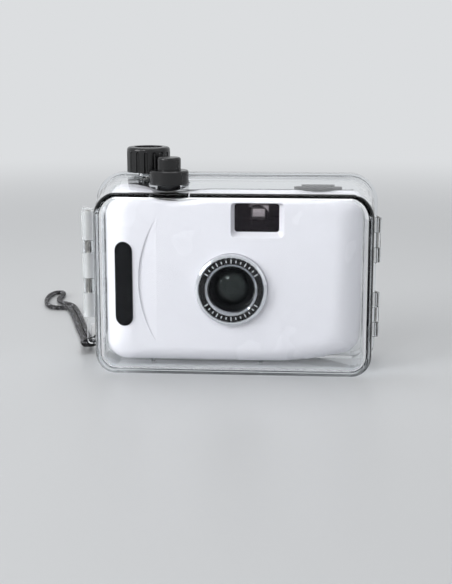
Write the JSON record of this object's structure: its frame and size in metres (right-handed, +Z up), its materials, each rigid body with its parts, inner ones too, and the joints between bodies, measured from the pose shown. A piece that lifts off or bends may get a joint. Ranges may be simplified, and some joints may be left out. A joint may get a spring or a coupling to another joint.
{
  "type": "underwater film camera",
  "caption": "Small film camera in a clear two-part waterproof housing with a winding knob, shutter button, side latch and wrist strap.",
  "frame": {"origin": "middle of the housing's flat resting face", "axes": "+X along the front towards the hinge side, +Y from the lens side to the back, +Z up"},
  "size_m": [0.1806, 0.1724, 0.0971],
  "materials": {
    "clear": "polished clear plastic",
    "white": "satin moulded",
    "knobs": "satin moulded",
    "black": "fine matte",
    "gloss_black": "polished",
    "chrome": "bright plated",
    "steel": "bright",
    "plate": "satin black",
    "rubber": "matte",
    "optical": "polished",
    "dial": "matte",
    "string": "woven"
  },
  "bodies": {
    "housing": {"housing_front_shell": "clear", "hinge_pins": "steel", "latch_pin": "steel", "shutter_collar": "knobs", "shutter_seal": "rubber", "winding_seal": "rubber", "plunger_spring": "steel", "front_cover": "white", "grip_insert": "gloss_black", "lens_bezel": "chrome", "lens_ring": "gloss_black", "lens_cup": "black", "front_lens": "optical", "lens_board": "black", "shutter_pin": "steel", "rear_lens": "optical", "viewfinder_window": "optical", "viewfinder_tube": "black", "viewfinder_eyepiece": "optical", "film_body": "black", "release_spring": "steel", "counter_window": "optical", "back_hinge_pin": "steel", "cover_screws": "steel", "strap_string": "string", "strap_crimp": "black", "strap_loop": "string"},
    "housing_back": {"housing_back_shell": "clear", "housing_gasket": "rubber"},
    "latch": {"latch_lever": "clear"},
    "winding": {"winding_knob": "knobs", "winding_shaft": "steel", "winding_dog": "black"},
    "spool": {"take_up_spool": "black", "advance_wheel": "black", "spool_gear": "black", "counter_finger": "black"},
    "idler": {"idler_gear": "black"},
    "sprocket": {"film_sprocket": "black"},
    "counter": {"counter_dial": "dial"},
    "shutter_button": {"shutter_cap": "knobs", "plunger_shaft": "steel", "plunger_clip": "steel"},
    "release": {"release_button": "black"},
    "blade": {"shutter_blade": "steel"},
    "rewind": {"rewind_knob": "black", "rewind_fork": "black"},
    "back_door": {"camera_back": "black", "pressure_plate": "plate", "pressure_spring": "steel"}
  },
  "joints": [
    {"name": "latch_turn", "type": "hinge", "parent": "housing", "child": "latch", "pos_m": [-0.0661, 0.003, 0.044], "axis": [0, 0, 1], "range_deg": [0, 110]},
    {"name": "housing_open", "type": "hinge", "parent": "housing", "child": "housing_back", "pos_m": [0.0629, 0.0093, 0.04], "axis": [0, 0, -1], "range_deg": [0, 110]},
    {"name": "back_door_open", "type": "hinge", "parent": "housing", "child": "back_door", "pos_m": [0.0546, 0.0162, 0.036], "axis": [0, 0, -1], "range_deg": [0, 95]},
    {"name": "winding_turn", "type": "hinge", "parent": "housing", "child": "winding", "pos_m": [-0.0388, 0.0046, 0.09], "axis": [0, 0, 1], "continuous": true},
    {"name": "spool_turn", "type": "hinge", "parent": "housing", "child": "spool", "pos_m": [-0.0388, 0.0046, 0.04], "axis": [0, 0, 1], "continuous": true},
    {"name": "idler_turn", "type": "hinge", "parent": "housing", "child": "idler", "pos_m": [-0.02992, 0.00238, 0.01], "axis": [0, 0, 1], "continuous": true},
    {"name": "sprocket_turn", "type": "hinge", "parent": "housing", "child": "sprocket", "pos_m": [-0.0258, 0.009, 0.038], "axis": [0, 0, 1], "continuous": true},
    {"name": "counter_turn", "type": "hinge", "parent": "housing", "child": "counter", "pos_m": [-0.0222, 0.0058, 0.072], "axis": [0, 0, -1], "continuous": true},
    {"name": "shutter_press", "type": "slide", "parent": "housing", "child": "shutter_button", "axis": [0, 0, -1], "range_m": [0, 0.0024], "stiffness_N_per_m": 500, "springref_m": -0.002, "deforming": ["plunger_spring"]},
    {"name": "release_press", "type": "slide", "parent": "housing", "child": "release", "axis": [0, 0, -1], "range_m": [0, 0.0024], "stiffness_N_per_m": 300, "springref_m": -0.001, "deforming": ["release_spring"]},
    {"name": "blade_swing", "type": "hinge", "parent": "housing", "child": "blade", "pos_m": [-0.007, -0.0102, 0.0424], "axis": [0, 1, 0], "range_deg": [0, 50], "stiffness_Nm_per_rad": 0.0003, "springref_deg": -11.46},
    {"name": "rewind_turn", "type": "hinge", "parent": "housing", "child": "rewind", "pos_m": [0.0361, 0.0014, 0.075], "axis": [0, 0, 1], "continuous": true}
  ],
  "couplings": [
    {"joint": "spool_turn", "follows": "winding_turn", "ratio": 1},
    {"joint": "idler_turn", "follows": "winding_turn", "ratio": -1.5},
    {"joint": "sprocket_turn", "follows": "winding_turn", "ratio": 1.3333},
    {"joint": "counter_turn", "follows": "winding_turn", "ratio": 0.025},
    {"joint": "release_press", "follows": "shutter_press", "ratio": 1},
    {"joint": "back_door_open", "follows": "housing_open", "ratio": 0.85}
  ]
}
